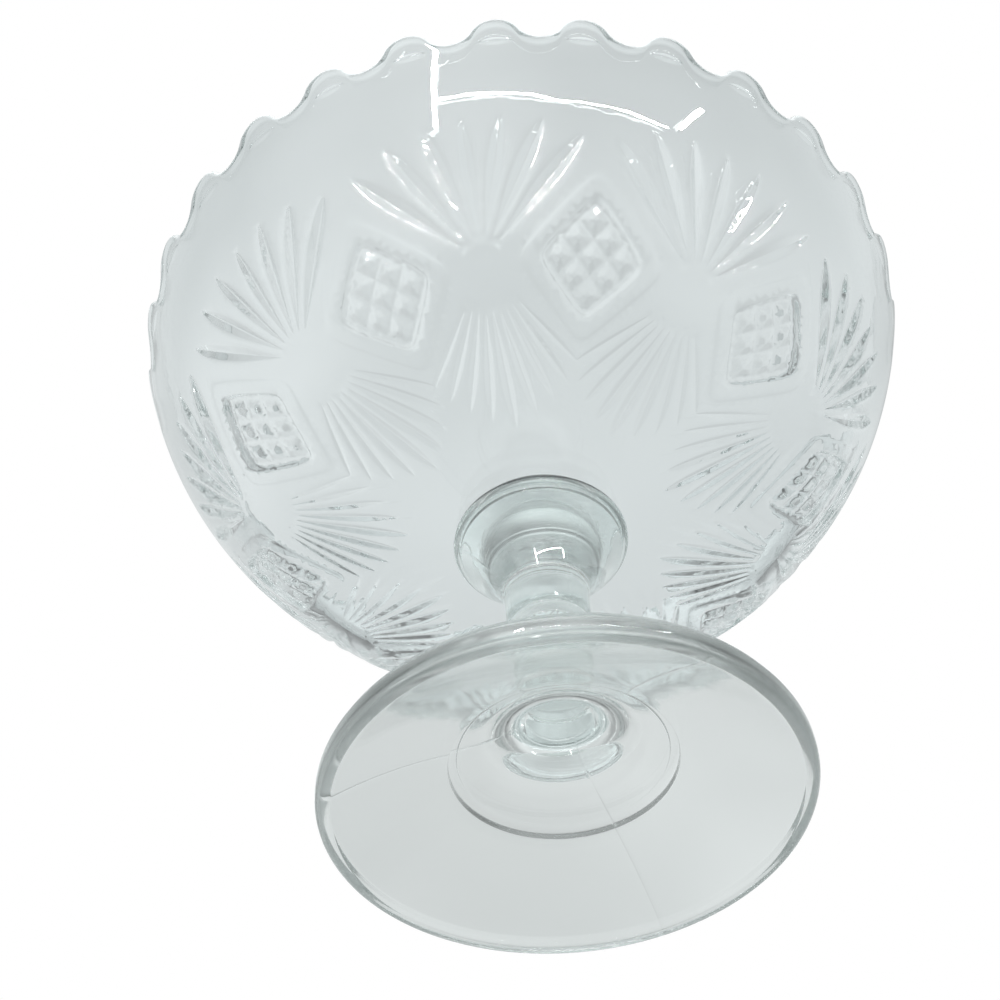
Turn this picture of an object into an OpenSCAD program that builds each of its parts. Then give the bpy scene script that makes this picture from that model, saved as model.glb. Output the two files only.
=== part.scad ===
// Footed compote bowl of clear pressed glass. Lengths are in millimetres.
// The bowl is pressed in one mould, the base in another, and a gather of hot glass joins them.
// The origin is the middle of the foot's resting plane, with Z up and one fan facing -Y.

/* [Bowl] */
// Width of the bowl across two opposite scallop tips
bowl_d = 203; // [190:1:220]
// Height of the bowl from its seat on the joint to the scallop tips
bowl_h = 68; // [60:0.5:80]
// Diameter at the shoulder, where the flat underside turns up into the wall
shoulder_d = 138; // [126:1:150]
// Height of the shoulder above the seat
shoulder_rise = 12.9; // [9:0.1:18]
// Radius that rounds the shoulder
shoulder_round = 30; // [16:1:60]
// Thickness of the wall
wall_t = 5; // [3.5:0.1:7]
// Thickness of the floor
floor_t = 6; // [4.5:0.1:8]
// Diameter of the flat seat under the floor
seat_d = 39; // [32:0.5:50]

/* [Scalloped rim] */
// Number of scallops round the rim
scallop_n = 30; // [18:3:36]
// Drop from a scallop's tip to the valley beside it
scallop_drop = 6.4; // [3:0.1:7]
// Share of the wave that the round tips take, and the valleys have the rest
scallop_tip_share = 0.5; // [0.5:0.01:0.8]

/* [Fans] */
// Number of fan and diamond pairs round the bowl
fan_n = 9; // [6:3:12]
// Blades in a fan that opens up the wall
upper_blades = 7; // [5:2:9]
// Angle between two of those blades
upper_step = 15.5; // [10:0.5:18]
// Reach of the middle one of those blades from the fan's heart
upper_mid_reach = 33; // [26:0.5:36]
// Reach of the outermost ones
upper_side_reach = 37; // [28:0.5:40]
// Bare stretch between the heart and the start of those blades
upper_start = 3.5; // [2:0.5:8]
// Blades in a fan that opens across the underside
lower_blades = 9; // [5:2:11]
// Angle between two of those blades
lower_step = 8; // [6:0.5:10]
// Reach of the middle one of those blades from the heart
lower_mid_reach = 39.5; // [32:0.5:42]
// Reach of the outermost ones
lower_side_reach = 31; // [26:0.5:36]
// Bare stretch between the heart and the start of those blades
lower_start = 8; // [5:0.5:14]
// Angle between the two faces of a blade on the wall
upper_angle = 112; // [90:1:130]
// Angle between the two faces of a blade on the flatter underside
lower_angle = 128; // [100:1:140]

/* [Diamonds] */
// Width of a diamond's field of points
diamond_w = 21; // [14:0.5:23]
// Height of that field, half of it over the shoulder
diamond_h = 25; // [18:0.5:30]
// Points along each side of the field
diamond_points = 3; // [2:1:4]
// Depth of the grooves between the points
diamond_groove = 1.1; // [0.6:0.1:1.6]
// Angle between the two faces of those grooves
diamond_angle = 100; // [80:1:120]

/* [Joint] */
// Thickness of the glass that joins the bowl to the base
joint_t = 2; // [1.2:0.1:3]
// Diameter of that glass
joint_d = 38; // [30:0.5:44]

/* [Stem] */
// Height of the base from the table to the joint
base_h = 81; // [72:0.5:95]
// Diameter of the flange at the top of the stem
flange_d = 41.5; // [34:0.5:50]
// Thickness of the flange's round edge
flange_t = 3.2; // [2:0.1:5]
// Diameter of the neck under the bell
neck_d = 19.2; // [16:0.2:24]
// Length of the bell, from the neck up to the flange
bell_h = 20; // [15:0.5:24]
// Radius of the bell's hollow flank
bell_round = 24; // [24:0.5:34]
// Length of the neck
neck_h = 9.2; // [6:0.2:14]
// Width of the ring groove under the neck
ring_groove_w = 2.4; // [1:0.1:4]
// Depth of that groove
ring_groove_t = 1.1; // [0.4:0.1:2]
// Diameter of the stem below the groove
stem_d = 18.2; // [15:0.2:24]

/* [Foot] */
// Diameter of the foot
foot_d = 100; // [90:1:120]
// Height of the foot's edge
foot_edge_h = 4.6; // [3:0.1:7]
// Radius of the edge's upper and lower corners
foot_edge_round = 1.6; // [0.8:0.1:2.2]
// Diameter of the dome's top, where the stem flares out of it
dome_top_d = 40; // [34:0.5:48]
// Height of the dome's top above the table
dome_top_h = 18; // [15:0.5:24]
// Radius of the flare between the stem and the dome
flare_round = 14; // [8:0.5:18]
// Thickness of the dome
dome_t = 5.5; // [5:0.1:8]
// Diameter of the deeper hollow under the stem
hollow_d = 47.4; // [40:0.2:56]
// Step up at that hollow's edge
hollow_step = 1.1; // [0.4:0.1:2]
// Height of the hollow's crown above the table
hollow_h = 18.4; // [16:0.2:22]

/* [Hidden] */
$fn = 96;

// Levels from the table up
joint_z = base_h;
seat_z = joint_z + joint_t;
shoulder_z = seat_z + shoulder_rise;
rim_z = seat_z + bowl_h;

// The underside and the wall are two round faces that meet at the shoulder.
// Each one's centre is on the axis: as far above its lower edge as both edges ask for.
function centre_rise(r0, r1, h) = (r1 * r1 - r0 * r0 + h * h) / (2 * h);
under_rise = centre_rise(seat_d / 2, shoulder_d / 2, shoulder_rise);
under_z = seat_z + under_rise;
under_r = norm([seat_d / 2, under_rise]);
wall_rise = centre_rise(shoulder_d / 2, bowl_d / 2, rim_z - shoulder_z);
wall_z = shoulder_z + wall_rise;
wall_r = norm([shoulder_d / 2, wall_rise]);

// The round at the shoulder touches both faces from inside
round_under = under_r - shoulder_round;
round_wall = wall_r - shoulder_round;
faces_apart = under_z - wall_z;
round_drop = (round_under * round_under - round_wall * round_wall - faces_apart * faces_apart)
    / (2 * faces_apart);
round_z = wall_z - round_drop;
round_x = sqrt(round_wall * round_wall - round_drop * round_drop);

// Overrun of every cut past the face that it opens
over = 1;

// One round face turned about the axis, seen in the plane of the profile
module disc_at(z, r) {
    translate([0, z]) circle(r);
}

// Everything inside the bowl's outer face, drawn in by inset
module bowl_profile(inset) {
    far = 2 * under_r;
    difference() {
        intersection() {
            disc_at(under_z, under_r - inset);
            disc_at(wall_z, wall_r - inset);
        }
        // The corner between the two faces, out from the centre of the round
        polygon([
            [round_x, round_z],
            [round_x, round_z] + far * [round_x, round_z - under_z] / round_under,
            [round_x, round_z] + far * [round_x, round_z - wall_z] / round_wall
        ]);
    }
    translate([round_x, round_z]) circle(shoulder_round - inset);
}

module bowl_blank() {
    rotate_extrude() intersection() {
        difference() {
            bowl_profile(0);
            translate([0, floor_t - wall_t]) bowl_profile(wall_t);
        }
        translate([0, seat_z]) square([bowl_d, bowl_h]);
    }
}

// The rim's wave is made of arcs: a large one over each tip and a small one in each valley.
// Each cut takes the glass between two tips, and is as wide as the inner face leaves between them.
scallop_pitch = (bowl_d - 2 * wall_t) * tan(180 / scallop_n);
wave = (scallop_pitch * scallop_pitch / 4 + scallop_drop * scallop_drop) / (2 * scallop_drop);
tip_r = wave * scallop_tip_share;
valley_r = wave - tip_r;
tip_centre = [scallop_pitch / 2, rim_z - tip_r];
valley_centre = [0, rim_z - scallop_drop + valley_r];
wave_joint = valley_centre + (tip_centre - valley_centre) * (1 - scallop_tip_share);

module scallop_cut() {
    top = rim_z + over;
    rotate([90, 0, 0]) linear_extrude(2 * wall_t + 2 * over) difference() {
        union() {
            translate(valley_centre) circle(valley_r);
            polygon([
                [-tip_centre[0], top], [-tip_centre[0], tip_centre[1]],
                [-wave_joint[0], wave_joint[1]], wave_joint,
                tip_centre, [tip_centre[0], top]
            ]);
        }
        for (side = [-1, 1]) translate([side * tip_centre[0], tip_centre[1]]) circle(tip_r);
    }
}

module scallop_cuts() {
    for (i = [0 : scallop_n - 1]) rotate([0, 0, i * 360 / scallop_n])
        translate([0, -bowl_d / 2 + 2 * wall_t + over, 0]) scallop_cut();
}

// A groove with two flat faces, run straight into a round face of radius face_r along X.
// It starts at angle a0 from the heart and comes out of the glass at angle a1.
module groove(face_r, a0, a1, depth, open_angle) {
    mid = (a0 + a1) / 2;
    run = face_r * sin((a1 - a0) / 2) + over;
    tall = depth + over;
    rotate([0, -mid, 0]) translate([-run, 0, depth - face_r])
        rotate([90, 0, 90]) linear_extrude(2 * run)
        polygon([[0, 0], [-tall * tan(open_angle / 2), -tall], [tall * tan(open_angle / 2), -tall]]);
}

// The frame of a point of the shoulder on a round face: X runs away from the shoulder,
// up the wall where toward is 0 and in across the underside where it is 180
module at_shoulder(face_z, face_r, toward) {
    translate([0, 0, face_z]) rotate([0, -asin(shoulder_d / 2 / face_r), 0])
        rotate([0, 0, toward]) children();
}

module fan(face_r, blades, step, start, mid_reach, side_reach, open_angle) {
    half = (blades - 1) / 2;
    for (i = [-half : half]) {
        reach = mid_reach + (side_reach - mid_reach) * abs(i) / half;
        a0 = start / face_r * 180 / PI;
        a1 = reach / face_r * 180 / PI;
        rotate([0, 0, i * step])
            groove(face_r, a0, a1, face_r * (1 - cos((a1 - a0) / 2)), open_angle);
    }
}

// Grooves crossed into a field of points. They cut only the face that they are set on,
// because the other face turns away from them at the shoulder.
module diamond(face_r) {
    side = norm([diamond_w, diamond_h]) / 2;
    lean = atan(diamond_w / diamond_h);
    gap = diamond_w * diamond_h / 2 / side / diamond_points;
    a = side / 2 / face_r * 180 / PI;
    for (way = [-1, 1], i = [-diamond_points / 2 : diamond_points / 2])
        rotate([0, 0, way * lean]) translate([0, i * gap, 0])
            groove(face_r, -a, a, diamond_groove, diamond_angle);
}

module bowl() color([0.84, 0.88, 0.88]) difference() {
    bowl_blank();
    scallop_cuts();
    for (i = [0 : fan_n - 1]) rotate([0, 0, -90 + i * 360 / fan_n]) {
        at_shoulder(wall_z, wall_r, 0)
            fan(wall_r, upper_blades, upper_step, upper_start,
                upper_mid_reach, upper_side_reach, upper_angle);
        at_shoulder(under_z, under_r, 180)
            fan(under_r, lower_blades, lower_step, lower_start,
                lower_mid_reach, lower_side_reach, lower_angle);
        rotate([0, 0, 180 / fan_n]) {
            at_shoulder(wall_z, wall_r, 0) diamond(wall_r);
            at_shoulder(under_z, under_r, 180) diamond(under_r);
        }
    }
}

// A disc with a full round edge, standing on z
module round_edged(d, t) {
    square([(d - t) / 2, t]);
    translate([(d - t) / 2, t / 2]) circle(t / 2);
}

module joining_wafer() color([0.80, 0.86, 0.85])
    translate([0, 0, joint_z]) rotate_extrude() intersection() {
        round_edged(joint_d, joint_t);
        square([joint_d, joint_t]);
    }

// The dome is one round face through the foot's edge and the dome's top
foot_r = foot_d / 2;
dome_top_r = dome_top_d / 2;
dome_drop = dome_top_h - foot_edge_h;
dome_fall = centre_rise(dome_top_r, foot_r, dome_drop) - dome_drop;
dome_z = foot_edge_h - dome_fall;
dome_r = norm([foot_r, dome_fall]);

// The flare touches the stem and the dome
stem_r = stem_d / 2;
flare_x = stem_r + flare_round;
flare_z = dome_z + sqrt(pow(dome_r + flare_round, 2) - flare_x * flare_x);
flare_foot = [0, dome_z] + [flare_x, flare_z - dome_z] * dome_r / (dome_r + flare_round);

// The hollow's crown is a round face from the step's top to the axis
hollow_r = hollow_d / 2;
under_dome_r = dome_r - dome_t;
hollow_edge_z = dome_z + sqrt(under_dome_r * under_dome_r - hollow_r * hollow_r) + hollow_step;
crown_rise = hollow_h - hollow_edge_z;
crown_r = (hollow_r * hollow_r + crown_rise * crown_rise) / (2 * crown_rise);

bell_top_z = base_h - flange_t;
neck_top_z = bell_top_z - bell_h;
neck_z = neck_top_z - neck_h;
neck_r = neck_d / 2;

// The foot's disc under the dome, with both corners of its edge rounded.
// The two rounds together leave some of a thin edge flat.
edge_round_share = 0.45;
module foot_outline() {
    corner = min(foot_edge_round, foot_edge_h * edge_round_share);
    reach = foot_r - corner;
    intersection() {
        translate([0, dome_z]) circle(dome_r);
        union() {
            square([reach, dome_r]);
            translate([0, corner]) square([foot_r, foot_edge_h - 2 * corner]);
            for (z = [corner, foot_edge_h - corner]) translate([reach, z]) circle(corner);
        }
    }
}

module stem_outline() {
    difference() {
        polygon([
            [0, 0], [0, neck_z], [stem_r, neck_z], [stem_r, flare_z],
            [flare_x, flare_z], flare_foot, [flare_foot[0], 0]
        ]);
        translate([flare_x, flare_z]) circle(flare_round);
    }
}

module bell_outline() {
    difference() {
        translate([0, neck_z]) square([(flange_d - flange_t) / 2, base_h - neck_z]);
        translate([neck_r, neck_z]) square([flange_d, neck_h]);
        translate([neck_r + bell_round, neck_top_z]) circle(bell_round);
    }
}

module underside_outline() {
    intersection() {
        translate([0, dome_z]) circle(under_dome_r);
        square([foot_r, dome_r]);
    }
}

module hollow_outline() {
    intersection() {
        translate([0, hollow_h - crown_r]) circle(crown_r);
        square([hollow_r, hollow_h]);
    }
}

module ring_groove_outline() {
    polygon([
        [stem_r - ring_groove_t, neck_z],
        [neck_r + over, neck_z + ring_groove_w / 2 + over],
        [neck_r + over, neck_z - ring_groove_w / 2 - over]
    ]);
}

module base() color([0.82, 0.86, 0.85]) difference() {
    union() {
        rotate_extrude() foot_outline();
        rotate_extrude() stem_outline();
        rotate_extrude() bell_outline();
        rotate_extrude() translate([0, bell_top_z]) round_edged(flange_d, flange_t);
    }
    rotate_extrude() underside_outline();
    rotate_extrude() hollow_outline();
    rotate_extrude() ring_groove_outline();
}

bowl();
joining_wafer();
base();
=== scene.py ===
import math

import bmesh
import bpy
import numpy as np
from mathutils import Matrix, Vector
from mathutils.geometry import delaunay_2d_cdt


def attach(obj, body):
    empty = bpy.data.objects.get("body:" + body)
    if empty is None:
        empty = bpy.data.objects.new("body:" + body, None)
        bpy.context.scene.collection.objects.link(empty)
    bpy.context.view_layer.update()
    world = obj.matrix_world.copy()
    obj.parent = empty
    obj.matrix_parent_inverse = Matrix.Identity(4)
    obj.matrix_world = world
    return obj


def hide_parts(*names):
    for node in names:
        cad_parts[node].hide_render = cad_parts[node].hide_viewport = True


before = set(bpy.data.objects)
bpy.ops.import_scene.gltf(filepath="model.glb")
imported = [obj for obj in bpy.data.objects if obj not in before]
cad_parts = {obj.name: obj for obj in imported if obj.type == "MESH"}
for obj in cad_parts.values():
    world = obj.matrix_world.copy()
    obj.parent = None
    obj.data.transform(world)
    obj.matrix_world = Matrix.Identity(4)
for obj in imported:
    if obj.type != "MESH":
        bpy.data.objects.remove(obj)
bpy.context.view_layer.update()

MM = 0.001
LIGHT_BOUNCES = 40  # thick glass passes light on many times

# Bowl
BOWL_D = 203.0
BOWL_H = 68.0
SHOULDER_D = 138.0
SHOULDER_RISE = 12.9
SHOULDER_ROUND = 30.0
WALL_T = 5.0
FLOOR_T = 6.0
SEAT_D = 39.0

# Scalloped rim
SCALLOP_N = 30
SCALLOP_DROP = 6.4
SCALLOP_TIP_SHARE = 0.5
LIP_H = 2.3  # height of the fire-polished lip
LIP_SQUARE = 0.84  # power that fills out the lip's section; 1 is a half ellipse
DENT_W = 8.5  # width, height and depth of the dent inside each tip
DENT_H = 2.6
DENT_T = 0.4
DENT_FALL = 4.2  # how far its middle is below the lip's inner edge

# Fans
FAN_N = 9
UPPER = dict(blades=7, step=15.5, start=3.5, mid=33.0, side=37.0, angle=112.0, toward=1)
LOWER = dict(blades=9, step=8.0, start=8.0, mid=39.5, side=31.0, angle=128.0, toward=-1)
BLADE_PEAK_SHARE = 0.64  # where along its length a blade is widest
BLADE_TIP_POWER = 0.7  # below 1 it fills out the tip's point
BLADE_CROWD_SHARE = 0.47  # most of the way to the next blade that one may take
BLADE_BOTTOM_SHARE = 0.06  # roundness of a blade's bottom
BLADE_EDGE_SHARE = 0.26  # roundness of its edges

# Diamonds
DIAMOND_W = 21.0
DIAMOND_H = 25.0
DIAMOND_POINTS = 3
DIAMOND_GROOVE = 1.0
POINT_TOP_SHARE = 0.2  # flat top of each point, as a share of its cell
BORDER_W = 4.4
BORDER_RAISE = 0.22
BORDER_BEVEL = 0.9
CORNER_SOFT = 1.6

# Joint and base
JOINT_T = 2.0
JOINT_D = 38.0
BASE_H = 81.0
FLANGE_D = 41.5
FLANGE_T = 3.2
NECK_D = 19.2
BELL_H = 20.0
BELL_ROUND = 24.0
NECK_H = 9.2
RING_GROOVE_W = 2.4
RING_GROOVE_T = 1.1
STEM_D = 18.2
FOOT_D = 100.0
FOOT_EDGE_H = 4.6
FOOT_EDGE_ROUND = 1.6
DOME_TOP_D = 40.0
DOME_TOP_H = 18.0
FLARE_ROUND = 14.0
DOME_T = 5.5
HOLLOW_D = 47.4
HOLLOW_STEP = 1.1
HOLLOW_H = 18.4
STEP_GROOVE_W = 1.8  # shallow ring pressed just inside the step
STEP_GROOVE_T = 0.35
FUSE = 0.05  # how far the joining glass runs into its neighbours

# Mould seams down the base
SEAM_AZIMUTHS = (-45.5, 74.5, 194.5)
SEAM_SHARES = (0.3, 1.0, 0.8)  # how much each one stands out
SEAM_W = 0.26
SEAM_RAISE = 0.07

# Levels and round faces, worked out as in the part's source
SEAT_Z = BASE_H + JOINT_T
SHOULDER_Z = SEAT_Z + SHOULDER_RISE
RIM_Z = SEAT_Z + BOWL_H


def centre_rise(r0, r1, h):
    """Height above the circle r0 of the middle of a round face that also meets r1, h higher."""
    return (r1 * r1 - r0 * r0 + h * h) / (2 * h)


UNDER_RISE = centre_rise(SEAT_D / 2, SHOULDER_D / 2, SHOULDER_RISE)
UNDER_Z = SEAT_Z + UNDER_RISE
UNDER_R = math.hypot(SEAT_D / 2, UNDER_RISE)
WALL_RISE = centre_rise(SHOULDER_D / 2, BOWL_D / 2, RIM_Z - SHOULDER_Z)
WALL_Z = SHOULDER_Z + WALL_RISE
WALL_R = math.hypot(SHOULDER_D / 2, WALL_RISE)
APART = UNDER_Z - WALL_Z
ROUND_UNDER = UNDER_R - SHOULDER_ROUND
ROUND_WALL = WALL_R - SHOULDER_ROUND
ROUND_DROP = (ROUND_UNDER**2 - ROUND_WALL**2 - APART**2) / (2 * APART)
ROUND_Z = WALL_Z - ROUND_DROP
ROUND_X = math.sqrt(ROUND_WALL**2 - ROUND_DROP**2)

# The dome of the foot is one round face through its edge and its top
DOME_DROP = DOME_TOP_H - FOOT_EDGE_H
DOME_FALL = centre_rise(DOME_TOP_D / 2, FOOT_D / 2, DOME_DROP) - DOME_DROP
DOME_Z = FOOT_EDGE_H - DOME_FALL
DOME_R = math.hypot(FOOT_D / 2, DOME_FALL)

# Slope of the outer face where the shoulder's round meets the underside and the wall
SLOPE_UNDER = math.atan2(ROUND_X, UNDER_Z - ROUND_Z)
SLOPE_WALL = math.atan2(ROUND_X, WALL_Z - ROUND_Z)
SLOPE_MID = (SLOPE_UNDER + SLOPE_WALL) / 2
S_UNDER = (SLOPE_UNDER - SLOPE_MID) * SHOULDER_ROUND
S_WALL = (SLOPE_WALL - SLOPE_MID) * SHOULDER_ROUND


# The bowl's faces, as functions of s, the length along the outer profile from the shoulder


def slope_at(s):
    """The outer face's angle from level at s."""
    return np.where(
        s < S_UNDER,
        SLOPE_UNDER + (s - S_UNDER) / UNDER_R,
        np.where(s > S_WALL, SLOPE_WALL + (s - S_WALL) / WALL_R, SLOPE_MID + s / SHOULDER_ROUND),
    )


def outer_at(s, inset=0.0):
    """Radius, height and slope of the outer face at s, drawn in by inset."""
    s = np.asarray(s, float)
    slope = slope_at(s)
    under, wall = s < S_UNDER, s > S_WALL
    x0 = np.where(under | wall, 0.0, ROUND_X)
    z0 = np.where(under, UNDER_Z, np.where(wall, WALL_Z, ROUND_Z))
    size = np.where(under, UNDER_R, np.where(wall, WALL_R, SHOULDER_ROUND)) - inset
    return x0 + size * np.sin(slope), z0 - size * np.cos(slope), slope


def inner_at(s):
    """Radius, height and slope of the inner face opposite s."""
    r, z, slope = outer_at(s, WALL_T)
    return r, z + FLOOR_T - WALL_T, slope


def s_of_wall_height(z):
    """Where the wall's outer face reaches height z."""
    return S_WALL + (np.arccos((WALL_Z - z) / WALL_R) - SLOPE_WALL) * WALL_R


def s_of_under_radius(r):
    """Where the underside reaches radius r."""
    return S_UNDER + (np.arcsin(r / UNDER_R) - SLOPE_UNDER) * UNDER_R


def around(r, azimuth, z):
    """Points at these radii, azimuths and heights."""
    return np.stack([r * np.cos(azimuth), r * np.sin(azimuth), z + 0 * r], -1)


# Relief: how deep the outer face is cut at each place of a wedge.
# A wedge's azimuth runs from 0, on a fan's axis, to HALF, on a diamond's axis.

HALF = math.pi / FAN_N
LEAST = 0.02  # keeps a share of a width from being divided by nothing
UNCUT = 0.01  # a place cut less deep than this by the blades is free for a diamond


class Blade:
    """One leaf-shaped cut of a fan, along a great circle of its round face."""

    def __init__(self, fan, index):
        up = fan["toward"] > 0
        self.size, self.z0 = (WALL_R, WALL_Z) if up else (UNDER_R, UNDER_Z)
        half = (fan["blades"] - 1) / 2
        self.start = fan["start"]
        self.end = fan["mid"] + (fan["side"] - fan["mid"]) * index / half
        self.step = math.radians(fan["step"])
        self.depth = self.size * (1 - math.cos((self.end - self.start) / 2 / self.size))
        self.width = self.depth * math.tan(math.radians(fan["angle"] / 2))
        lean = math.asin(SHOULDER_D / 2 / self.size)
        heading = index * self.step
        out = np.array([math.sin(lean), 0, -math.cos(lean)])
        along = np.array([math.cos(lean), 0, math.sin(lean)]) * fan["toward"]
        aside = np.array([0.0, 1.0, 0.0])
        self.heart = out
        self.way = math.cos(heading) * along + math.sin(heading) * aside
        self.side = math.cos(heading) * aside - math.sin(heading) * along

    def swell(self, t):
        """Share of the full depth at share t of the length: pointed at the heart, full at the tip."""
        u = np.clip(t, 0, 1) ** (math.log(0.5) / math.log(BLADE_PEAK_SHARE))
        full = 4 * u * (1 - u)
        return np.where(u > 0.5, full**BLADE_TIP_POWER, full)

    def half_width(self, t):
        """Half width at share t of the length, no more than the next blade leaves room for."""
        reach = self.start + t * (self.end - self.start)
        return np.minimum(self.width * self.swell(t), reach * self.step * BLADE_CROWD_SHARE)

    def spot(self, t, aside):
        """Azimuth and s of the place at share t of the length and this far aside."""
        a = (self.start + t * (self.end - self.start)) / self.size
        p = self.heart * np.cos(a)[..., None] + self.way * np.sin(a)[..., None]
        p = p + self.side * (aside / self.size)[..., None]
        p /= np.linalg.norm(p, axis=-1)[..., None]
        return np.arctan2(p[..., 1], p[..., 0]), s_of_ray(p, self.z0, self.size)

    def cut(self, points):
        """Depth of this blade at points of the outer face."""
        p = points - np.array([0, 0, self.z0])
        p /= np.linalg.norm(p, axis=-1)[..., None]
        a = np.arctan2(p @ self.way, p @ self.heart) * self.size
        aside = np.abs(np.arcsin(np.clip(p @ self.side, -1, 1))) * self.size
        t = (a - self.start) / (self.end - self.start)
        inside = (t > 0) & (t < 1)
        t = np.where(inside, t, 0.5)
        c = aside / np.maximum(self.half_width(t), LEAST)
        return np.where(inside, self.depth * self.swell(t) * section(c), 0.0)


def s_of_ray(p, z0, size):
    """s where a ray p from the middle of a round face meets that face."""
    slope = np.arctan2(np.hypot(p[..., 0], p[..., 1]), -p[..., 2])
    if size == WALL_R:
        return S_WALL + (slope - SLOPE_WALL) * WALL_R
    return S_UNDER + (slope - SLOPE_UNDER) * UNDER_R


def section(c):
    """A V with a slightly round bottom at c = 0 and soft edges at c = 1."""
    v = 1 + BLADE_BOTTOM_SHARE / 2 - np.sqrt(c * c + BLADE_BOTTOM_SHARE**2)
    return (v + np.sqrt(v * v + BLADE_EDGE_SHARE**2)) / 2


def fan_blades():
    """The blades on one side of a fan's axis, with the middle one."""
    return [Blade(f, i) for f in (UPPER, LOWER) for i in range((f["blades"] + 1) // 2)]


BLADES = fan_blades()
HALF_W, HALF_H = DIAMOND_W / 2, DIAMOND_H / 2
DIAMOND_SLANT = HALF_W * HALF_H / math.hypot(HALF_W, HALF_H)
CORNER_SHARE = 0.5 * CORNER_SOFT * (1 / HALF_W + 1 / HALF_H)


def diamond_spot(x, y):
    """Azimuth and s of the place x beside and y above a diamond's middle."""
    r = outer_at(y)[0]
    return HALF - x / r, y


def border_edge(x, y):
    """Distance out from the edge of the diamond's field, with its corners rounded."""
    soft = CORNER_SOFT
    q = np.sqrt(x * x + soft * soft) / HALF_W + np.sqrt(y * y + soft * soft) / HALF_H
    return (q - 1 - CORNER_SHARE) * DIAMOND_SLANT


RAMP_EASE = 0.35  # share of a ramp that eases in and out; the rest is straight


def ramp(x, x0, x1):
    """0 to 1 from x0 to x1."""
    t = np.clip((x - x0) / (x1 - x0), 0, 1)
    return t * t * (3 - 2 * t) * RAMP_EASE + t * (1 - RAMP_EASE)


def cell_groove(u):
    """0 on the flat top of a point and 1 at the bottom of the groove beside it."""
    wave = np.abs(((u + 1) * DIAMOND_POINTS / 2) % 1 - 0.5) * 2
    return np.clip((wave - POINT_TOP_SHARE) / (1 - POINT_TOP_SHARE), 0, 1)


def diamond_cut(azimuth, s):
    """Depth in a diamond's field, and less than nothing on its raised border."""
    x, y = (HALF - azimuth) * outer_at(s)[0], s
    u, v = x / HALF_W + y / HALF_H, -x / HALF_W + y / HALF_H
    field = DIAMOND_GROOVE * np.maximum(cell_groove(u), cell_groove(v))
    out = border_edge(x, y)
    inside = 1 - ramp(out, 0, BORDER_BEVEL)
    fall = ramp(out, BORDER_W - BORDER_BEVEL, BORDER_W)
    border = BORDER_RAISE * ramp(out, 0, BORDER_BEVEL) * (1 - fall)
    field = np.where(out < 0, field, DIAMOND_GROOVE)
    return field * inside - border


def relief(azimuth, s):
    """Depth at each place of a wedge, where both neighbours of a diamond reach into it."""
    depth = np.zeros_like(s)
    for near in (azimuth, 2 * HALF - azimuth):
        r, z, _ = outer_at(s)
        points = around(r, near, z)
        for blade in BLADES:
            depth = np.maximum(depth, blade.cut(points))
    return depth + np.where(depth < UNCUT, diamond_cut(azimuth, s), 0.0)


# The wedge's mesh: triangles that follow every edge of the relief

RELIEF_TOP_Z = 124.0  # height of the relief band's upper edge
RELIEF_IN_R = 27.0  # radius of its lower edge
COLUMNS = 1080  # points round the rim; rings nearer the axis have a whole part of them
INSIDE_COLUMNS = COLUMNS // 3
FLOOR_COLUMNS = COLUMNS // 12
UNDER_COLUMNS = COLUMNS // 2
S_HIGH = float(s_of_wall_height(RELIEF_TOP_Z))
S_LOW = float(s_of_under_radius(RELIEF_IN_R))
GRID = 1.7  # distance between plain points
CHART = SHOULDER_D / 2  # the wedge is flattened with azimuths laid out at this radius
BLADE_POINTS = 25  # along a blade
BLADE_LINES = (0.0, 0.15, -0.15, 0.85, -0.85, 1.0, -1.0, 1.3, -1.3)  # half widths from its middle
BLADE_THIN = 0.16  # half width below which only its middle line is kept
FIELD_POINTS = 19  # along a groove of a diamond
BORDER_POINTS = 41  # along half a border
PAST_WEDGE = 0.02  # radians that a blade's lines run past the wedge
PAST_AXIS = 0.3  # how far a groove's lines run past a diamond's axis
PAST_FIELD = 0.02  # and past the edge of its field
MERGE = 0.004  # points closer than this are one
SLIVER = 0.001  # edges shorter than this are dropped
ON_SIDE = 1e-5  # radians from a side of the wedge at which a point is on it
ON_EDGE = 1e-3  # distance from its upper or lower edge at which a point is on it


class Lines:
    """Points and edges of the flat wedge that the triangles have to keep."""

    def __init__(self):
        self.points, self.edges = [], []

    def add(self, azimuth, s, joined=True):
        """A row of points, joined by edges or loose."""
        first = len(self.points)
        self.points += [(float(a) * CHART, float(b)) for a, b in zip(azimuth, s)]
        if joined:
            self.edges += [(i, i + 1) for i in range(first, len(self.points) - 1)]


def add_blade(lines, blade, mirrored):
    """The blade's bottom line, its sides and its edges, inside the wedge."""
    t = 0.5 - 0.5 * np.cos(np.linspace(0, math.pi, BLADE_POINTS))
    w = blade.half_width(t)
    for c in BLADE_LINES:
        keep = (w > BLADE_THIN) | (c == 0)
        azimuth, s = blade.spot(t[keep], c * w[keep])
        azimuth = 2 * HALF - azimuth if mirrored else azimuth
        inside = (azimuth > -PAST_WEDGE) & (azimuth < HALF + PAST_WEDGE)
        if inside.sum() > 1:
            first, last = np.flatnonzero(inside)[[0, -1]]
            lines.add(azimuth[first : last + 1], s[first : last + 1], abs(c) <= 1)


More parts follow.
